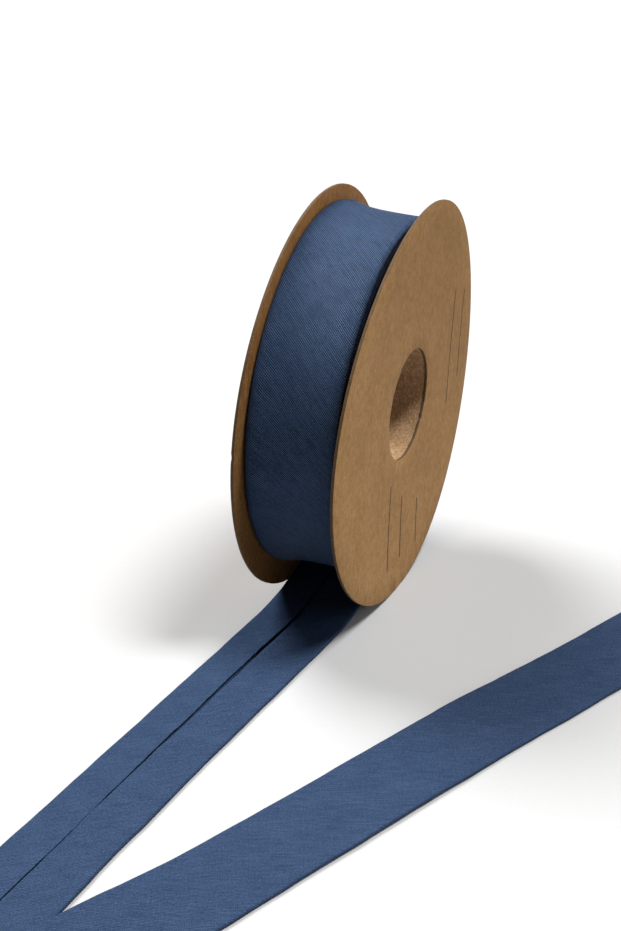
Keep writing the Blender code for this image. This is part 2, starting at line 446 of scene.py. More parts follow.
@dataclass(frozen=True)
class BiasCotton:
    """Plain-woven dyed cotton, its threads running across the strip at 45 degrees."""

    name: str = "bias_cotton"
    # hollow and crown are the tones of the weave's hollows and thread crowns; their difference is
    # partly painted shade and painted highlight.
    hollow: Colour = (0.0054, 0.0090, 0.0205)
    thread: Colour = (0.0178, 0.0312, 0.0650)
    crown: Colour = (0.0405, 0.0680, 0.1270)
    pitch: float = 0.405
    wander: float = 2.2
    warp_low: float = 0.45
    warp_rise: float = 0.7
    ribs: float = 0.46
    checks: float = 0.22
    blots: float = 0.10
    gleam: float = 0.44
    grain: float = 1.0
    relief: float = 0.00010

    @property
    def level(self) -> float:
        """The lowest tone, raised to make up for weaker checks and a weaker grain."""
        return 0.02 + 0.55 * (0.22 - self.checks) + 0.43 * (1.0 - self.grain)

    def weave(self, bench: Bench, cloth: Feed) -> tuple[Feed, Feed, Feed]:
        """Work out the plain weave.

        Args:
            bench: The material's bench.
            cloth: Place on the cloth, in millimetres along and across the strip.

        Returns:
            The height of the threads, how far a warp thread shows, and the place in threads.
        """
        bias = {
            "Vector": cloth,
            "Rotation": (0.0, 0.0, math.radians(45.0)),
            "Scale": (math.pi / self.pitch,) * 3,
        }
        turned = bench.split(bench.add("ShaderNodeMapping", bias).outputs[0])
        drift = bench.math("MULTIPLY", bench.noise(cloth, (0.09, 0.09, 1.0), 1.0), self.wander)
        places = bench.math("ADD", turned[0], drift), bench.math("SUBTRACT", turned[1], drift)
        waves = [bench.math("SINE", at) for at in places]
        warp, weft = (bench.math("ABSOLUTE", wave) for wave in waves)
        over = bench.math("MULTIPLY", *waves)
        warp_over, weft_over = (bench.total(0.5, (over, share)) for share in (0.5, -0.5))
        warp_top = bench.total(self.warp_low, (warp_over, self.warp_rise))
        tops = bench.math("MULTIPLY", warp, warp_top), bench.math("MULTIPLY", weft, weft_over)
        return bench.math("MAXIMUM", *tops), warp, bench.join(*places)

    def material(self) -> bpy.types.Material:
        """Build the cloth's material from its own UV map, which is in millimetres.

        Returns:
            The material.
        """
        material, bench, shader = start_finish(self.name)
        cloth = bench.add("ShaderNodeUVMap", uv_map="cloth").outputs[0]
        height, warp, threads = self.weave(bench, cloth)
        slub = bench.noise(threads, (0.34, 0.026, 1.0), 1.0)
        cross_slub = bench.noise(threads, (0.026, 0.34, 1.0), 1.0)
        knot = bench.noise(threads, (0.097, 0.052, 1.0), 0.0)
        fuzz = bench.noise(cloth, (1.7, 1.7, 1.0), 3.0)
        speck = bench.noise(cloth, (3.4, 3.4, 1.0), 1.0)
        mottle = bench.noise(cloth, (0.16, 0.16, 1.0), 2.0)
        patch = bench.noise(cloth, (0.28, 0.28, 1.0), 3.0)
        # The weave's height and the warp ribs make the tone partly painted: painted shade in the
        # hollows between threads and painted highlight on the thread crowns and warp ribs. Slubs,
        # fuzz, specks, knots and mottle are the cloth's own tone.
        ribbed = bench.math("SUBTRACT", warp, 0.64)
        ribbed = bench.math("MULTIPLY", ribbed, bench.span(patch, 0.36, 0.62, 0.12, 1.0))
        ribbed = bench.math("MULTIPLY", ribbed, bench.span(slub, 0.36, 0.66, 0.50, 1.55))
        tone = bench.total(
            self.level,
            (height, self.checks),
            (ribbed, self.ribs),
            (slub, 0.22 * self.grain),
            (cross_slub, 0.08 * self.grain),
            (fuzz, 0.22 * self.grain),
            (speck, 0.34 * self.grain),
            (mottle, self.blots),
        )
        colour = bench.ramp(tone, ((0.44, self.hollow), (0.60, self.thread), (0.80, self.crown)))
        finish = {
            "Base Color": bench.tint(bench.span(knot, 0.82, 0.88, 0.0, 0.30), colour, self.hollow),
            "Roughness": bench.span(height, 0.0, 1.0, 0.62, 0.46),
            "Specular IOR Level": bench.span(ribbed, -0.20, 0.36, 0.0, self.gleam),
            "Specular Tint": (0.36, 0.59, 1.0, 1.0),
            "Normal": bench.relief(bench.total(height, (fuzz, 0.25), (slub, 0.35)), self.relief),
        }
        bench.fill(shader, finish)
        return material


class Rule(NamedTuple):
    """A plain printed line on a disc, by its middle and its size."""

    back: float
    up: float
    width: float
    length: float


@dataclass(frozen=True)
class KraftCard:
    """Brown card with long fibres, flecks and a soft mottle, and where asked, painted shade."""

    name: str = "kraft_liner"
    shade: Colour = (0.168, 0.086, 0.028)
    body: Colour = (0.239, 0.129, 0.047)
    light: Colour = (0.308, 0.179, 0.075)
    # age and painted_shade_slope paint shade into the card's colour: an even darkening, and a
    # darkening that grows towards the reel's back and top.
    age: float = 0.02
    painted_shade_slope: float = 0.0
    plies: bool = False
    rules: tuple[Rule, ...] = ()
    ink: Colour = (0.036, 0.022, 0.015)
    relief: float = 0.00005
    ply: float = 0.23
    rule_blur: float = 0.06

    @staticmethod
    def off_axis(bench: Bench, at: Feed, place: Place) -> tuple[Feed, Feed]:
        """Work out where a place is about the reel's axis.

        Args:
            bench: The material's bench.
            at: Place on the object, in metres.
            place: The reel's place.

        Returns:
            How far back and how far up it is, in metres.
        """
        middle = place.metres((0.0, 0.0, place.axis_height))
        _, back, up = bench.split(at)
        return bench.math("SUBTRACT", back, middle.y), bench.math("SUBTRACT", up, middle.z)

    def printed(self, bench: Bench, at: Feed, place: Place) -> Feed:
        """Work out where the disc's printed lines lie.

        Args:
            bench: The material's bench.
            at: Place on the object, in metres.
            place: The reel's place.

        Returns:
            1 on a line, fading at its edges, and 0 elsewhere.
        """
        back, up = self.off_axis(bench, at, place)
        mark: Feed = 0.0
        for rule in self.rules:
            sides = []
            for way, centre, size in ((back, rule.back, rule.width), (up, rule.up, rule.length)):
                off = bench.math("ABSOLUTE", bench.math("SUBTRACT", way, centre * MM))
                low, high = ((size / 2 + blur) * MM for blur in (-self.rule_blur, self.rule_blur))
                sides.append(bench.span(off, low, high, 1.0, 0.0))
            mark = bench.math("MAXIMUM", mark, bench.math("MULTIPLY", *sides))
        return mark

    def material(self, place: Place) -> bpy.types.Material:
        """Build the card's material from Object coordinates.

        Args:
            place: The reel's place.

        Returns:
            The material.
        """
        material, bench, shader = start_finish(self.name)
        at = bench.add("ShaderNodeTexCoord").outputs["Object"]
        streak = bench.noise(at, (1700.0, 1900.0, 620.0), 3.0)
        grain = bench.noise(at, (2500.0, 2500.0, 2200.0), 3.0)
        mottle = bench.noise(at, (560.0, 560.0, 460.0), 3.0)
        cloud = bench.noise(at, (90.0, 90.0, 70.0), 2.0)
        fleck = bench.noise(at, (1500.0, 1500.0, 700.0), 1.0)
        tone = bench.total(0.0, (streak, 0.28), (grain, 0.44), (mottle, 0.20), (cloud, 0.12))
        # Painted shade: the tone is lowered evenly and more towards the back and top of the reel,
        # so the face is darker there and lighter towards the front and bottom.
        if self.painted_shade_slope:
            drift = bench.math("ADD", *self.off_axis(bench, at, place))
            tone = bench.math("SUBTRACT", tone, bench.total(self.age, (drift, self.painted_shade_slope)))
        if self.plies:
            turn = bench.math("MULTIPLY", bench.split(at)[0], 2 * math.pi / (self.ply * MM))
            tone = bench.total(tone, (bench.math("SINE", turn), 0.12))
        colour = bench.ramp(tone, ((0.39, self.shade), (0.52, self.body), (0.65, self.light)))
        colour = bench.tint(bench.span(fleck, 0.66, 0.74, 0.0, 0.40), colour, self.shade)
        colour = bench.tint(bench.span(fleck, 0.34, 0.27, 0.0, 0.35), colour, self.light)
        if self.rules:
            wear = bench.noise(at, (2400.0, 2400.0, 2400.0), 2.0)
            worn = bench.span(wear, 0.30, 0.55, 0.74, 0.95)
            mark = bench.math("MULTIPLY", self.printed(bench, at, place), worn)
            colour = bench.tint(mark, colour, self.ink)
        finish = {
            "Base Color": colour,
            "Roughness": bench.span(grain, 0.3, 0.7, 0.72, 0.92),
            "Specular IOR Level": 0.15,
            "Normal": bench.relief(bench.total(grain, (streak, 0.6)), self.relief),
        }
        bench.fill(shader, finish)
        return material


class Warp(NamedTuple):
    """How far a disc's rim has bent towards +X, in millimetres."""

    dish: float
    back: float
    top: float
    cross: float
    diagonal: float


class Nick(NamedTuple):
    """A small dent in a cut edge: its angle, its depth and its half width."""

    angle: float
    depth: float
    reach: float


@dataclass
class CardDisc:
    """A disc die-cut from thin card, with a round hole."""

    name: str
    node: str
    side: Side
    warp: Warp
    rim_nicks: tuple[Nick, ...] = ()
    bore_nicks: tuple[Nick, ...] = ()
    radius: float = 47.6
    bore: float = 13.2
    thickness: float = 0.7
    inner_face: float = 11.3
    hub: float = 17.0
    warp_power: float = 1.4
    edge_soft: float = 0.12
    edge_width: float = 1.0
    edge_lean: float = 0.75
    fine_rough: float = 0.022
    long_rough: float = 0.02
    steps: int = 240
    inside_rings: tuple[float, ...] = (17.0, 20.0, 24.0, 29.0, 34.0, 39.0, 43.0)

    def outline(self) -> list[tuple[float, float]]:
        """List the section, round both cut edges.

        Returns:
            Each point's radius and its distance from the inner face.
        """
        soft, thick = self.edge_soft, self.thickness
        cheek = 0.3 * soft
        eased = ((soft, 0.0), (cheek, cheek), (0.0, soft))
        bore = [(self.bore + cut, off) for cut, off in eased]
        rim = [(self.radius - cut, off) for cut, off in eased]
        return [
            *bore,
            *[(radius, thick - off) for radius, off in reversed(bore)],
            *[(ring, thick) for ring in self.inside_rings],
            *[(radius, thick - off) for radius, off in rim],
            *reversed(rim),
            *[(ring, 0.0) for ring in reversed(self.inside_rings)],
        ]

    def bend(self, radius: float, angle: float) -> float:
        """Give how far the disc has bent at a place, towards +X.

        Args:
            radius: The place's radius.
            angle: Its angle in radians from the back.

        Returns:
            The bend, in millimetres.
        """
        warp = self.warp
        reach = max(radius - self.hub, 0.0) / (self.radius - self.hub)
        bend = warp.dish + warp.back * math.cos(angle) + warp.top * math.sin(angle)
        bend += warp.cross * math.cos(2 * angle) + warp.diagonal * math.sin(2 * angle)
        return bend * reach**self.warp_power

    @staticmethod
    def dented(nicks: Sequence[Nick], radius: float, angle: float) -> float:
        """Give the depth of the dents at an angle.

        Args:
            nicks: The dents of one edge.
            radius: The edge's radius.
            angle: Angle in radians from the back.

        Returns:
            The depth, in millimetres.
        """
        depth = 0.0
        for nick in nicks:
            off = (math.degrees(angle) - nick.angle + 180.0) % 360.0 - 180.0
            along = abs(math.radians(off)) * radius
            depth += nick.depth * max(1.0 - along / nick.reach, 0.0)
        return depth

    def build(self, place: Place) -> bpy.types.Mesh:
        """Build the disc's mesh.

        Args:
            place: The reel's place.

        Returns:
            The mesh, its faces sorted into the card's slots.
        """
        sign = self.side.value
        outline = self.outline()
        rows = []
        for step in range(self.steps):
            angle = 2 * math.pi * step / self.steps
            rough = self.fine_rough * ripple(step / 3.1, 0.3 * sign)
            rough += self.long_rough * ripple(step / 17.0, 0.8)
            row = []
            for radius, off in outline:
                cut = radius
                if radius > self.radius - self.edge_width:
                    cut += rough - self.dented(self.rim_nicks, self.radius, angle)
                elif radius < self.bore + self.edge_width:
                    cut += rough + self.dented(self.bore_nicks, self.bore, angle)
                x = sign * (self.inner_face + off) + self.bend(radius, angle)
                row.append(place.round_axis(x, cut, angle))
            rows.append(row)
        mesh = skin(self.name, rows, place, ring=True)
        mesh.set_sharp_from_angle(angle=CARD_CREASE)
        for face in mesh.polygons:
            out = face.normal.x * sign
            if abs(out) < self.edge_lean:
                face.material_index = CardFace.CUT_EDGE.value
            elif out > 0:
                face.material_index = CardFace.OUTSIDE.value
        return mesh


@dataclass
class CardTube:
    """The wound card tube that the discs are glued to, open right through."""

    name: str = "core_card_tube"
    bore: float = 13.2
    wall: float = 1.6
    half: float = 11.27
    rings: int = 25
    steps: int = 144
    seam_pitch: float = 62.0
    seam_depth: float = 0.10
    seam_width: float = 0.5

    def build(self, place: Place) -> bpy.types.Mesh:
        """Build the tube, with the faint winding seam of its inner ply.

        Args:
            place: The reel's place.

        Returns:
            The tube's mesh.
        """
        across = np.linspace(-self.half, self.half, self.rings)
        rows = []
        for step in range(self.steps):
            angle = 2 * math.pi * step / self.steps
            row = []
            for x in across:
                turn = angle / (2 * math.pi) - x / self.seam_pitch
                off = abs((turn + 0.5) % 1.0 - 0.5) * 2 * math.pi * self.bore
                radius = self.bore + self.seam_depth * max(1.0 - off / self.seam_width, 0.0)
                row.append(place.round_axis(x, radius, angle))
            row += [place.round_axis(x, self.bore + self.wall, angle) for x in reversed(across)]
            rows.append(row)
        mesh = skin(self.name, rows, place, ring=True)
        mesh.set_sharp_from_angle(angle=CARD_CREASE)
        return mesh


class Across(NamedTuple):
    """A place across the roll, and the height lost there."""

    x: float
    drop: float


def finish_tree(bench: Bench, shape: Feed, material: Feed) -> None:
    """End a tree in Realize Instances and Set Material.

    Args:
        bench: The tree's bench.
        shape: The geometry so far.
        material: The tree's material input.
    """
    real = bench.add("GeometryNodeRealizeInstances", {0: shape}).outputs[0]
    dress = bench.add("GeometryNodeSetMaterial", {"Geometry": real, "Material": material})
    bench.add("NodeGroupOutput", {0: dress.outputs[0]})


def start_tree(name: str, inputs: Mapping[str, str]) -> tuple[Bench, bpy.types.Node]:
    """Start a geometry tree with named inputs.

    Args:
        name: The tree's name.
        inputs: The kind of each input after the geometry, by its name.

    Returns:
        A bench on the tree, and its input node.
    """
    tree = bpy.data.node_groups.new(name, "GeometryNodeTree")
    for label, kind in {"Geometry": "Geometry", **inputs}.items():
        tree.interface.new_socket(label, in_out="INPUT", socket_type="NodeSocket" + kind)
    tree.interface.new_socket("Geometry", in_out="OUTPUT", socket_type="NodeSocketGeometry")
    bench = Bench(tree)
    return bench, bench.add("NodeGroupInput")


def run_tree(
    name: str, guide: bpy.types.Curve, tree: bpy.types.NodeTree, inputs: Mapping[str, object]
) -> bpy.types.Mesh:
    """Run a geometry tree on a guide curve and keep the plain mesh.

    Args:
        name: The new mesh's name.
        guide: The curve that it follows.
        tree: The geometry tree.
        inputs: Values of its named inputs.

    Returns:
        The mesh. The guide is removed.
    """
    maker = put_in_scene(name + "_guide", guide)
    modifier = maker.modifiers.new("tree", "NODES")
    modifier.node_group = tree
    for item in tree.interface.items_tree:
        if item.in_out == "INPUT" and item.name in inputs:
            modifier[item.identifier] = inputs[item.name]
    bpy.context.view_layer.update()
    graph = bpy.context.evaluated_depsgraph_get()
    mesh = bpy.data.meshes.new_from_object(maker.evaluated_get(graph))
    mesh.name = name
    maker.modifiers.clear()
    bpy.data.objects.remove(maker, do_unlink=True)
    return mesh


def guide_curve(name: str, lines: Rows, cyclic: bool = False) -> bpy.types.Curve:
    """Make a curve of straight steps.

    Args:
        name: The curve's name.
        lines: Points of each line, in metres.
        cyclic: True where each line closes.

    Returns:
        The curve.
    """
    curve = bpy.data.curves.new(name, "CURVE")
    curve.dimensions = "3D"
    for points in lines:
        spline = curve.splines.new("POLY")
        spline.points.add(len(points) - 1)
        for point, place in zip(spline.points, points):
            point.co = (*place, 1.0)
        spline.use_cyclic_u = cyclic
    return curve


@dataclass
class WoundBinding:
    """The binding wound on its tube, turn over turn."""

    place: Place
    width: float = 20.0
    thickness: float = 0.56
    core_radius: float = 14.85
    first_lift: float = 1.6
    inner_radius: float = 42.5
    outer_radius: float = 43.9
    lift: float = 1.2
    forward: float = 0.35
    centre_x: float = -0.52
    leave_degrees: float = 12.0
    turns: int = 44
    wander: float = 0.22
    calm_turns: float = 1.5
    hidden_steps: int = 44
    seen_steps: int = 120
    seen_turns: int = 8
    side_slant: float = 0.35
    tuck: float = 0.2
    profile: tuple[Across, ...] = (
        Across(-10.15, 0.42),
        Across(-10.0, 0.20),
        Across(-9.7, 0.06),
        Across(-8.8, 0.0),
        Across(-7.5, 0.35),
        Across(-5.0, 1.0),
        Across(-2.0, 1.3),
        Across(2.0, 1.45),
        Across(6.0, 1.5),
        Across(8.8, 1.45),
        Across(9.6, 1.72),
        Across(9.85, 2.05),
        Across(10.0, 2.60),
    )

    def section(self) -> list[Vector]:
        """List the strip's section, its smooth side outwards.

        Returns:
            The closed section's points, in metres.
        """
        edge, thick = self.width / 2 - self.tuck, self.thickness
        outside = [Vector((-x, thick / 2 - drop, 0.0)) for x, drop in self.profile]
        inside = [
            Vector((-x, -thick / 2 - read_table(self.profile, x, 1), 0.0))
            for x in (9.6, 5.0, 0.0, -5.0, -9.6)
        ]
        inside[0].x, inside[-1].x = -edge, edge
        return [point * MM for point in outside + inside]

    def centre(self, share: float) -> tuple[float, float]:
        """Give the middle (y, z) of a turn, from the core (0) to the outside (1)."""
        return -self.forward * share, self.place.axis_height + self.lift * share

    def radius(self, turned: float) -> float:
        """Give the outer radius after some turns from the core.

        Args:
            turned: Turns from the core.

        Returns:
            The radius, in millimetres.
        """
        if turned > self.turns:
            step = self.outer_radius - self.inner_radius
            return self.inner_radius + step * (turned - self.turns)
        first = self.core_radius + self.thickness + self.first_lift
        return first + (self.inner_radius - first) * turned / self.turns

    def middle(self, turned: float) -> Vector:
        """Give the strip's middle after some turns.

        Args:
            turned: Turns from the core.

        Returns:
            The middle, in the frame's metres.
        """
        outer = self.radius(turned)
        share = min((outer - self.core_radius) / (self.inner_radius - self.core_radius), 1.0)
        y, z = self.centre(share)
        angle = math.radians(self.leave_degrees - 360.0 * turned)
        radius = outer - self.thickness / 2
        calm = clamp((self.turns - turned) / self.calm_turns)
        x = self.centre_x + self.wander * calm * ripple(turned * 0.9, 0.21)
        return self.place.metres((x, y + radius * math.sin(angle), z - radius * math.cos(angle)))

    def route(self) -> list[Vector]:
        """List the middle line of the whole winding, from the core outwards.

        Returns:
            Its points, in metres.
        """
        points = []
        turned = 0.0
        while turned < self.turns + 1.0:
            points.append(self.middle(turned))
            hidden = turned < self.turns - self.seen_turns
            turned += 1 / (self.hidden_steps if hidden else self.seen_steps)
        return [*points, self.middle(self.turns + 1.0)]

    @staticmethod
    def tree() -> bpy.types.NodeTree:
        """Build the tree that sweeps the strip's section along its winding.

        Returns:
            The geometry tree.
        """
        bench, given = start_tree("wound_turns", {"Section": "Object", "Cloth": "Material"})
        asked = {"Object": given.outputs["Section"]}
        info = bench.add("GeometryNodeObjectInfo", asked, transform_space="ORIGINAL")
        strip = {
            "Curve": given.outputs["Geometry"],
            "Profile Curve": info.outputs["Geometry"],
            "Fill Caps": True,
        }
        sweep = bench.add("GeometryNodeCurveToMesh", strip)
        smooth = bench.add("GeometryNodeSetShadeSmooth", {0: sweep.outputs[0]})
        finish_tree(bench, smooth.outputs[0], given.outputs["Cloth"])
        return bench.tree

    def unwrap(self, mesh: bpy.types.Mesh) -> None:
        """Lay the cloth's UV map round the roll, in millimetres.

        Args:
            mesh: The roll's mesh.
        """
        places = (vertex_places(mesh) - np.array(self.place.shift)) / MM
        corners = corner_vertices(mesh)
        x, y, z = places[corners].T
        y, z = y + self.forward, z - self.place.axis_height - self.lift
        angle = np.arctan2(z, y)
        starts = np.array([face.loop_start for face in mesh.polygons])
        first = angle[np.repeat(starts, np.diff(np.append(starts, len(corners))))]
        angle = first + (angle - first + np.pi) % (2 * np.pi) - np.pi
        slip = self.side_slant * (np.hypot(y, z) - self.outer_radius)
        map_cloth(mesh, np.column_stack((angle * self.outer_radius, x + slip)))

    def build(self, cloth: bpy.types.Material) -> bpy.types.Mesh:
        """Build the winding.

        Args:
            cloth: The binding's material.

        Returns:
            The winding's mesh.
        """
        section = guide_curve("strip_section", [self.section()], cyclic=True)
        strip = put_in_scene("strip_section", section)
        guide = guide_curve("winding", [self.route()])
        mesh = run_tree("wound_binding", guide, self.tree(), {"Section": strip, "Cloth": cloth})
        bpy.data.objects.remove(strip, do_unlink=True)
        self.unwrap(mesh)
        return mesh


class Lie(NamedTuple):
    """How the second run lies: distance from the fold, lift of each edge, and sideways wander."""

    distance: float
    inner: float
    outer: float
    wander: float


class Slit(NamedTuple):
    """The slit at a y: its width, its offset, and how far the +X edge is drawn in."""

    y: float
    width: float
    off: float
    drawn_in: float


@dataclass
class LooseEnd:
    """The binding's loose end: out of the roll, folded over and back to its cut end."""

    roll: WoundBinding
    width: float = 20.0
    cloth: float = 0.29
    tight_gap: float = 0.03
    loose_gap: float = 0.30
    near_drop: float = 1.5
    landing_y: float = -28.0
    straight_y: float = -40.0
    straight_x: float = -2.1
    out_heading: float = 4.3
    fold_y: float = -204.8
    back_heading: float = 22.5
    fold_radius: float = 2.2
    skew_length: float = 16.0
    opening: float = 26.0
    bite: float = 0.05
    floor_gap: float = 0.02
    step: float = 1.6
    look: float = 0.5
    fold_steps: int = 20
    fibres_from: float = 8.0
    flap_lifts: tuple[float, float] = (0.48, 0.30)
    pucker: float = 0.05
    lip_waves: tuple[float, float] = (0.05, 0.035)
    fold_wave: float = 0.10
    lies: tuple[Lie, ...] = (
        Lie(0.0, 4.4, 4.4, 0.0),
        Lie(7.0, 4.05, 3.85, 0.1),
        Lie(15.0, 3.2, 2.8, 0.3),
        Lie(25.0, 2.6, 1.6, 0.6),
        Lie(40.0, 2.35, 0.75, 0.9),
        Lie(55.0, 2.1, 0.25, 1.1),
        Lie(66.0, 1.8, 0.05, 1.2),
        Lie(78.0, 0.9, 0.0, 1.25),
        Lie(92.0, 0.15, 0.0, 0.9),
        Lie(112.0, 0.0, 0.15, 0.6),
        Lie(132.0, 0.1, 0.2, 0.25),
        Lie(150.0, 0.4, 0.1, 0.05),
        Lie(168.0, 0.65, 0.0, 0.0),
        Lie(186.0, 0.4, 0.0, 0.25),
        Lie(204.0, 0.0, 0.15, 0.3),
        Lie(222.0, 0.0, 0.2, 0.1),
        Lie(240.0, 0.0, 0.0, 0.0),
    )
    slits: tuple[Slit, ...] = (
        Slit(12.0, 0.55, -1.2, 0.0),
        Slit(-30.0, 0.88, -1.35, 0.0),
        Slit(-49.0, 0.95, -1.5, 0.3),
        Slit(-63.0, 0.90, -1.45, 0.4),
        Slit(-77.0, 0.76, -1.3, 0.55),
        Slit(-90.0, 0.56, -1.38, 0.7),
        Slit(-102.0, 0.32, -1.32, 0.55),
        Slit(-114.0, 0.20, -1.15, 0.5),
        Slit(-125.0, 0.16, -0.95, 0.55),
        Slit(-135.0, 0.36, -0.8, 0.2),
        Slit(-150.0, 0.40, -0.8, 0.0),
        Slit(-210.0, 0.40, -0.8, 0.0),
    )
    sections: list[list[Vector]] = field(default_factory=list)
    cloth_map: list[list[tuple[float, float]]] = field(default_factory=list)
    lips: tuple[list[Vector], list[Vector]] = field(default_factory=lambda: ([], []))
    last_centre: Vector | None = None
    length: float = 0.0

    @property
    def half_turn(self) -> float:
        """Half the angle between the two runs, in degrees."""
        return (self.back_heading - self.out_heading) / 2

    @property
    def rest(self) -> float:
        """Height of the strip's middle where it lies on the floor."""
        return self.cloth + self.loose_gap / 2

    def skew(self, distance: float) -> float:
        """Give how far a section is turned from square, by its distance to the fold."""
        return self.half_turn * clamp(1 - distance / self.skew_length)

    def outline(self, slit: Slit, gap: float, along: float) -> list[Point]:
        """List the folded section as (across, up, place on the flat cloth).

        Args:
            slit: The slit's width and offset.
            gap: Space between the two layers.
            along: Distance along the strip, for its uneven edges.

        Returns:
            The closed section, from the middle of the smooth side round both flaps.
        """
        top, inner, hem = self.cloth + gap / 2, gap / 2, self.cloth / 4
        arc = math.pi * top
        loops: list[list[Point]] = []
        for hand, flap_lift in zip((1, -1), self.flap_lifts):
            lip = slit.width / 2 + hand * slit.off
            lip += self.lip_waves[0] * ripple(along / 5.0, 0.4 + hand)
            lip += self.lip_waves[1] * ripple(along / 1.3, 1.9 * hand)
            fold = self.width / 2 - top + self.fold_wave * ripple(along / 31.0, 0.7 * hand)
            fold -= slit.drawn_in if hand > 0 else 0.0
            spring = flap_lift * (0.55 + 0.45 * ripple(along / 23.0, 2.3 * hand))
            reach = fold - lip

            def bent(t: float, radius: float) -> Point:
                """Give a point round the fold, from the smooth side (0) to the flap (1)."""
                angle = math.pi * (t - 0.5)
                return fold + radius * math.cos(angle), radius * math.sin(angle), fold + arc * t

            def flap(t: float, base: float) -> Point:
                """Give a point on the flap.

                Args:
                    t: 0 at the fold, 1 at the raw edge.
                    base: Height of the flat flap.

                Returns:
                    The point.
                """
                lift = spring * t**3 * min(gap / self.loose_gap, 1.0)
                lift += self.pucker * ripple(along / 17.0, hand + t) * t * (1 - t) * 2
                return fold - reach * t, base + lift, fold + arc + reach * t

            points = [(fold * t, -top, fold * t) for t in (0.0, 0.25, 0.5, 0.75, 0.92)]
            points += [bent(k / 8, top) for k in range(9)]
            points += [flap(t, top) for t in (0.15, 0.35, 0.6, 0.8, 0.93, 0.995)]
            points += [flap(1.0, top - hem), flap(1.0, inner + hem)]
            points += [flap(t, inner) for t in (0.995, 0.8, 0.4)]
            points += [bent(1 - k / 4, inner) for k in range(5)]
            points += [(fold * t, -inner, fold * t) for t in (0.5, 0.0)]
            loops.append([(hand * a, up, hand * flat) for a, up, flat in points])
        right, left = loops
        return right[:-1] + list(reversed(left))[:-1]

    def lay(
        self, centre: Vector, across: Vector, along: Vector, slit: Slit, skew: float, gap: float
    ) -> None:
        """Lay one section down.

        Args:
            centre: The strip's middle there.
            across: Direction of its width.
            along: Direction of its length.
            slit: The slit there.
            skew: Degrees that the section is turned from square.
            gap: Space between the layers.
        """
        if self.sections:
            self.length += (centre - self.last_centre).length
        self.last_centre = centre
        normal = along.cross(across).normalized()
        stretch = 1 / math.cos(math.radians(skew))
        shear = math.tan(math.radians(skew))
        outline = self.outline(slit, gap, self.length)
        ring = [centre + across * (a * stretch) + normal * up for a, up, _ in outline]
        self.sections.append([Vector((p.x, p.y, max(p.z, self.floor_gap))) for p in ring])
        self.cloth_map.append([(self.length + a * shear, flat) for a, _, flat in outline])

    @staticmethod
    def heading(degrees: float) -> Vector:
        """Give a direction in plan, turned from +Y towards +X."""
        angle = math.radians(degrees)
        return Vector((math.sin(angle), math.cos(angle), 0.0))

    def slit_at(self, y: float) -> Slit:
        """Read the slit at a y of the first run."""
        return Slit(y, *(read_table(self.slits, y, column) for column in (1, 2, 3)))

    def leaving(self, side: float) -> Vector:
        """Give where the strip leaves the roll.

        Args:
            side: 0 for its far edge, 1 for its near edge, or between.

        Returns:
            The place, in millimetres about the reel.
        """
        thick = self.cloth * 2 + self.tight_gap
        radius = self.roll.outer_radius - self.near_drop * side - thick / 2 + self.bite
        angle = math.radians(self.roll.leave_degrees - 0.1)
        y, z = self.roll.centre(1.0)
        y, z = y + radius * math.sin(angle), z - radius * math.cos(angle)
        return Vector((self.roll.centre_x, y, z))

    def out_centre(self, y: float) -> tuple[Vector, tuple[float, float]]:
        """Give how the first run lies at a y.

        Args:
            y: Place along the first run.

        Returns:
            The middle, and the heights of the far and the near edge.
        """
        start = self.leaving(0.5)
        slope = math.tan(math.radians(self.out_heading))
        if y > self.straight_y:
            span = self.straight_y - start.y
            share = (y - start.y) / span
            x = hermite(share, start.x, self.straight_x, 0.0, slope * span)
        else:
            x = self.straight_x + slope * (y - self.straight_y)
        heights = [self.rest, self.rest]
        if y > self.landing_y:
            span = self.landing_y - start.y
            leave = math.tan(math.radians(self.roll.leave_degrees)) * span
            for side in (0, 1):
                high = hermite((y - start.y) / span, self.leaving(side).z, self.rest, leave, 0.0)
                heights[side] = max(high, self.rest)
        return Vector((x, y, sum(heights) / 2)), (heights[0], heights[1])

    def lay_first_run(self) -> None:
        """Lay the run from the roll to the fold, its slit upwards."""
        start = self.leaving(0.5).y
        count = round((start - self.fold_y) / self.step)
        for k in range(count + 1):
            y = start + (self.fold_y - start) * k / count
            centre, heights = self.out_centre(y)
            ahead = self.out_centre(y - self.look)[0]
            behind = self.out_centre(min(y + self.look, start))[0]
            along = (ahead - behind).normalized()
            skew = self.skew(y - self.fold_y)
            turned = math.degrees(math.atan2(-along.x, -along.y)) + skew
            across = self.heading(turned + 90)
            across.z = (heights[1] - heights[0]) / self.width
            opened = clamp((start - y) / self.opening)
            gap = self.tight_gap + (self.loose_gap - self.tight_gap) * opened
            slit = self.slit_at(y)
            self.lay(centre, across.normalized(), along, slit, skew, gap)
            if k % 2 == 0 and y < self.fibres_from:
                for hand, lip in zip((1, -1), self.lips):
                    edge = across * (slit.off + hand * slit.width / 2)
                    lip.append(centre + edge + Vector((0, 0, self.rest)))

    def lay_fold(self) -> Vector:
        """Lay the soft fold.

        Returns:
            Where the second run starts.
        """
        middle = (self.back_heading + self.out_heading) / 2
        outward, across = -self.heading(middle), self.heading(middle + 90)
        start = self.out_centre(self.fold_y)[0]
        drift = self.fold_radius * math.tan(math.radians(self.half_turn))
        slit = self.slit_at(self.fold_y)
        for k in range(1, self.fold_steps + 1):
            angle = math.pi * k / self.fold_steps
            centre = start + outward * (self.fold_radius * math.sin(angle))
            centre += across * (drift * angle)
            centre.z += self.fold_radius * (1 - math.cos(angle))
            along = outward * math.cos(angle) + Vector((0, 0, math.sin(angle)))
            self.lay(centre, across, along, slit, self.half_turn, self.loose_gap)
        return start + across * (drift * math.pi)

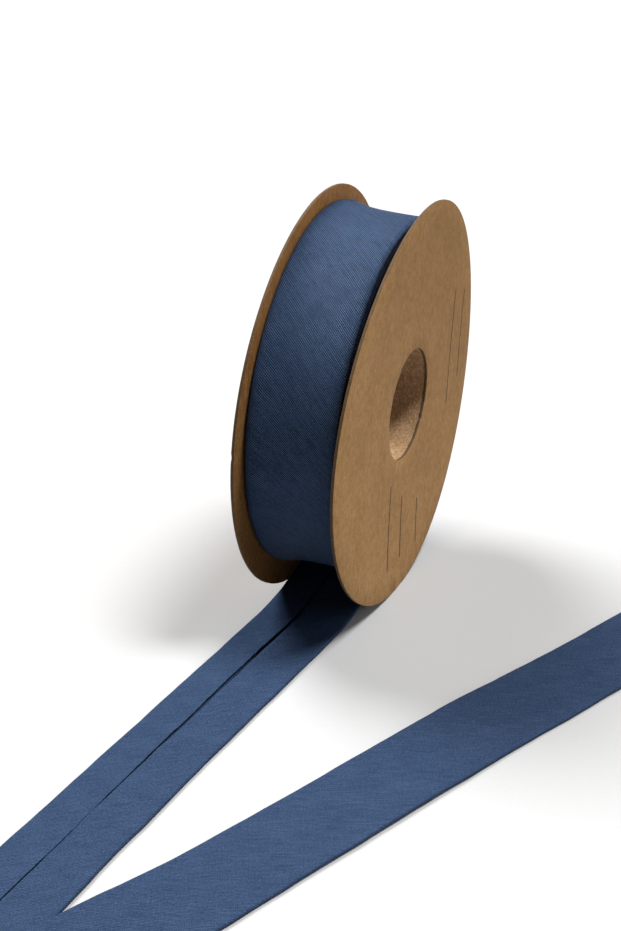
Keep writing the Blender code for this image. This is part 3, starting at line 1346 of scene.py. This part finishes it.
    def back_centre(self, start: Vector, distance: float) -> tuple[Vector, float]:
        """Give how the second run lies at a distance.

        Args:
            start: Where the second run starts.
            distance: Distance from there.

        Returns:
            The middle, and how much higher the outer edge lies.
        """
        inner, outer = (max(read_table(self.lies, distance, c), 0.0) for c in (1, 2))
        wander = read_table(self.lies, distance, 3)
        point = start + self.heading(self.back_heading) * distance
        point += self.heading(self.back_heading + 90) * wander
        point.z = self.rest + (inner + outer) / 2
        return point, outer - inner

    def lay_second_run(self, start: Vector) -> None:
        """Lay the run from the fold to the cut end, its slit down.

        Args:
            start: Where the run starts.
        """
        length = self.lies[-1].distance
        count = round(length / self.step)
        slit = self.slit_at(self.fold_y)
        for k in range(1, count + 1):
            distance = length * k / count
            centre, tilt = self.back_centre(start, distance)
            ahead = self.back_centre(start, min(distance + self.look, length))[0]
            along = (ahead - self.back_centre(start, distance - self.look)[0]).normalized()
            skew = self.skew(distance)
            across = self.heading(math.degrees(math.atan2(along.x, along.y)) + 90 - skew)
            across.z = tilt / self.width
            self.lay(centre, across.normalized(), along, slit, skew, self.loose_gap)

    def build(self) -> bpy.types.Mesh:
        """Build the whole loose end as one folded strip.

        Returns:
            The strip's mesh, with its cloth's UV map.
        """
        self.lay_first_run()
        self.lay_second_run(self.lay_fold())
        mesh = skin("loose_end", self.sections, self.roll.place, ring=False)
        mesh.set_sharp_from_angle(angle=CLOTH_CREASE)
        flat = np.array([place for section in self.cloth_map for place in section])
        map_cloth(mesh, flat[corner_vertices(mesh)])
        return mesh


@dataclass
class RawEdgeThreads:
    """Short fibres that stand out of the cloth's raw edges."""

    every: float = 0.9
    longest: float = 0.8
    thickness: float = 0.035
    seed: int = 11
    shortest: float = 0.35
    lean: float = 0.7
    spin: float = 6.283

    def tree(self) -> bpy.types.NodeTree:
        """Build the tree that sets bent fibres along a raw edge.

        Returns:
            The geometry tree.
        """
        kinds = {"Spacing": "Float", "Length": "Float", "Thickness": "Float"}
        bench, given = start_tree("raw_edge_fibres", {**kinds, "Seed": "Int", "Cloth": "Material"})
        asked = given.outputs
        edge = {"Curve": asked["Geometry"], "Length": asked["Spacing"]}
        points = bench.add("GeometryNodeCurveToPoints", edge, mode="LENGTH")
        bow = {"Start": (0.0, 0.0, 0.0), "Middle": (0.1, 0.0, 0.5), "End": (0.55, 0.1, 0.8)}
        bend = bench.add("GeometryNodeCurveQuadraticBezier", {"Resolution": 4, **bow})
        reach = bench.join(*[asked["Length"]] * 3)
        size = bench.add("GeometryNodeTransform", {"Geometry": bend.outputs[0], "Scale": reach})
        radius = bench.math("MULTIPLY", asked["Thickness"], 0.5)
        ring = bench.add("GeometryNodeCurvePrimitiveCircle", {"Resolution": 3, "Radius": radius})
        strand = {"Curve": size.outputs[0], "Profile Curve": ring.outputs[0], "Fill Caps": True}
        fibre = bench.add("GeometryNodeCurveToMesh", strand)
        seed = {"Seed": asked["Seed"]}
        turns = {0: (-self.lean, -self.lean, 0.0), 1: (self.lean, self.lean, self.spin)}
        turn = bench.add("FunctionNodeRandomValue", {**turns, **seed}, data_type="FLOAT_VECTOR")
        sizes = {2: self.shortest, 3: 1.0}
        scale = bench.add("FunctionNodeRandomValue", {**sizes, **seed}, data_type="FLOAT")
        sowing = {
            "Points": points.outputs["Points"],
            "Instance": fibre.outputs[0],
            "Rotation": bench.add("FunctionNodeEulerToRotation", {0: turn.outputs[0]}).outputs[0],
            "Scale": scale.outputs[1],
        }
        sown = bench.add("GeometryNodeInstanceOnPoints", sowing)
        finish_tree(bench, sown.outputs[0], asked["Cloth"])
        return bench.tree

    def build(self, lines: Rows, place: Place, cloth: bpy.types.Material) -> bpy.types.Mesh:
        """Build the fibres.

        Args:
            lines: The raw edges, in millimetres about the reel.
            place: The reel's place.
            cloth: The binding's material.

        Returns:
            The fibres' mesh.
        """
        guide = guide_curve("raw_edges", [[place.metres(p) for p in line] for line in lines])
        inputs = {
            "Spacing": self.every * MM,
            "Length": self.longest * MM,
            "Thickness": self.thickness * MM,
            "Seed": self.seed,
            "Cloth": cloth,
        }
        mesh = run_tree("raw_edge_threads", guide, self.tree(), inputs)
        map_cloth(mesh, vertex_places(mesh)[corner_vertices(mesh), :2] / MM)
        return mesh


@dataclass
class CardReel:
    """The two discs and the tube between them."""

    place: Place
    near: CardDisc
    far: CardDisc
    tube: CardTube
    rules: tuple[Rule, ...]

    def finishes(self) -> list[bpy.types.Material]:
        """Build the card's five materials.

        Returns:
            The liner, the printed face, the cut edge, the inner face and the tube's lining.
        """
        cards = (
            KraftCard(),
            # The printed face carries print and painted shade, darker towards the back and top.
            KraftCard(name="kraft_printed", rules=self.rules, painted_shade_slope=1.15),
            # The cut edge's colours are darker than the faces: partly the card's own darker cut
            # edge, partly painted shade for the dark line where the near disc's edge meets the
            # roll.
            KraftCard(
                name="kraft_cut_edge",
                shade=(0.063, 0.035, 0.016),
                body=(0.090, 0.053, 0.028),
                light=(0.122, 0.078, 0.043),
                plies=True,
            ),
            KraftCard(
                name="kraft_inside",
                shade=(0.106, 0.044, 0.010),
                body=(0.169, 0.079, 0.023),
                light=(0.231, 0.124, 0.043),
            ),
            KraftCard(
                name="kraft_lining",
                shade=(0.165, 0.092, 0.042),
                body=(0.262, 0.158, 0.080),
                light=(0.375, 0.255, 0.152),
            ),
        )
        return [card.material(self.place) for card in cards]

    def dress(self) -> None:
        """Build and dress the reel's three card pieces."""
        liner, printed, cut, inside, lining = self.finishes()
        for disc, outside in ((self.near, printed), (self.far, liner)):
            mesh = disc.build(self.place)
            for finish in (inside, outside, cut):
                mesh.materials.append(finish)
            show(disc.name, mesh, "kraft_card", disc.node)
        mesh = self.tube.build(self.place)
        mesh.materials.append(lining)
        show(self.tube.name, mesh, "kraft_card", "core_tube")


@dataclass
class SoftLight:
    """A wide soft light, by the direction that it comes from, its spread and its strength."""

    name: str
    comes_from: Point
    spread: float
    strength: float
    colour: Colour = (1.0, 1.0, 1.0)

    def hang(self) -> None:
        """Put the light in the scene."""
        data = bpy.data.lights.new(self.name, "SUN")
        data.angle = math.radians(self.spread)
        data.energy = self.strength
        data.color = self.colour
        turn = Vector(self.comes_from).to_track_quat("Z", "Y")
        put_in_scene(self.name, data).matrix_world = turn.to_matrix().to_4x4()


@dataclass
class Studio:
    """A plain pale floor, a plain sky and soft lights."""

    place: Place
    floor_size: float = 6000.0
    floor_drop: float = 0.05
    floor_colour: Colour = (0.37, 0.37, 0.37)
    floor_tooth: float = 0.985
    sky: float = 0.17
    lights: tuple[SoftLight, ...] = (
        SoftLight("far_light", (-0.80, 0.28, 1.0), 30.0, 5.27),
        SoftLight("near_light", (0.30, 0.13, 1.0), 17.0, 4.3),
        SoftLight("side_light", (1.0, 0.20, 0.42), 34.0, 0.95),
    )

    def floor(self) -> None:
        """Lay the floor."""
        half = self.floor_size / 2
        corners = ((-half, -half), (half, -half), (half, half), (-half, half))
        places = [self.place.metres((x, y, -self.floor_drop)) for x, y in corners]
        mesh = bpy.data.meshes.new("studio_floor")
        mesh.from_pydata(places, [], [(0, 1, 2, 3)])
        material, bench, shader = start_finish("studio_paper")
        at = bench.add("ShaderNodeTexCoord").outputs["Object"]
        tooth = bench.noise(at, (900.0, 900.0, 900.0), 2.0)
        low = tuple(channel * self.floor_tooth for channel in self.floor_colour)
        colour = bench.ramp(tooth, ((0.3, low), (0.7, self.floor_colour)))
        finish = {"Base Color": colour, "Roughness": 1.0, "Specular IOR Level": 0.0}
        bench.fill(shader, finish)
        mesh.materials.append(material)
        put_in_scene("studio_floor", mesh)

    def light(self) -> None:
        """Set the sky and hang the lights."""
        world = bpy.data.worlds.new("studio_sky")
        world.use_nodes = True
        sky = world.node_tree.nodes["Background"]
        Bench(world.node_tree).fill(sky, {"Color": (1.0, 1.0, 1.0, 1.0), "Strength": self.sky})
        bpy.context.scene.world = world
        bpy.context.scene.view_settings.view_transform = "Standard"
        for light in self.lights:
            light.hang()


@dataclass
class PhotoCamera:
    """The photograph's view, found from the discs, the roll and the two runs."""

    place: Place
    focal: float = 1804.34
    picture_height: float = 931.0
    azimuth: float = 20.38
    elevation: float = 24.34
    roll: float = 3.35
    distance: float = 433.35
    target: Point = (-11.29, 0.0, 26.86)

    def stand(self) -> None:
        """Put the camera in the scene and make it the scene's camera."""
        azimuth, elevation, roll = map(math.radians, (self.azimuth, self.elevation, self.roll))
        level = Vector((math.cos(azimuth), math.sin(azimuth), 0.0))
        ahead = Vector((-math.sin(azimuth), math.cos(azimuth), 0.0))
        back = Vector((0.0, 0.0, math.sin(elevation))) - ahead * math.cos(elevation)
        upright = back.cross(level)
        right = level * math.cos(roll) + upright * math.sin(roll)
        up = upright * math.cos(roll) - level * math.sin(roll)
        data = bpy.data.cameras.new("photo_camera")
        data.sensor_fit = "VERTICAL"
        data.sensor_height = 24.0
        data.lens = self.focal * data.sensor_height / self.picture_height
        data.clip_start = 0.01
        camera = put_in_scene("photo_camera", data)
        turn = Matrix((right, up, back)).transposed().to_4x4()
        spot = self.place.metres(Vector(self.target) + back * self.distance)
        camera.matrix_world = Matrix.Translation(spot) @ turn
        bpy.context.scene.camera = camera


def main() -> None:
    """Build the reel, its binding and the studio."""
    logging.basicConfig(level=logging.INFO, format="%(message)s", stream=sys.stdout)
    place = Place.from_frame(axis_height=47.45)
    PhotoCamera(place).stand()
    studio = Studio(place)
    studio.floor()
    studio.light()
    CardReel(
        place,
        near=CardDisc(
            "near_disc",
            "flange_near",
            Side.NEAR,
            Warp(0.62, -0.05, 0.23, -0.73, -0.39),
            bore_nicks=(
                Nick(122.6, 0.35, 0.9),
                Nick(28.0, 0.14, 0.5),
                Nick(9.0, 0.20, 0.6),
                Nick(-17.0, 0.16, 0.5),
                Nick(-34.0, 0.26, 0.7),
                Nick(-58.0, 0.20, 0.8),
            ),
        ),
        far=CardDisc(
            "far_disc",
            "flange_far",
            Side.FAR,
            Warp(0.0, -0.45, 0.10, -0.27, -0.21),
            rim_nicks=(Nick(180.0, 0.35, 1.1),),
        ),
        tube=CardTube(),
        rules=(
            Rule(-8.4, -28.5, 0.6, 22.0),
            Rule(0.2, -31.5, 0.6, 16.0),
            Rule(11.6, -34.5, 0.6, 12.0),
            Rule(31.0, 4.0, 0.55, 30.0),
            Rule(38.9, 5.0, 0.55, 23.0),
        ),
    ).dress()
    roll = WoundBinding(place)
    wound = roll.build(BiasCotton().material())
    show("wound_binding", wound, "cotton_binding", "tape_roll")
    tail = LooseEnd(roll)
    strip = tail.build()
    eased = BiasCotton(
        name="bias_cotton_eased",
        thread=(0.0212, 0.0360, 0.0720),
        crown=(0.0484, 0.0790, 0.1400),
        ribs=0.06,
        checks=0.08,
        blots=0.06,
        gleam=0.03,
        grain=0.62,
        relief=0.00007,
    ).material()
    strip.materials.append(eased)
    loose = show("loose_end", strip, "cotton_binding", "tape_tail")
    fibres = RawEdgeThreads().build(tail.lips, place, eased)
    threads = show("raw_edge_threads", fibres, "cotton_binding")


if __name__ == "__main__":
    main()
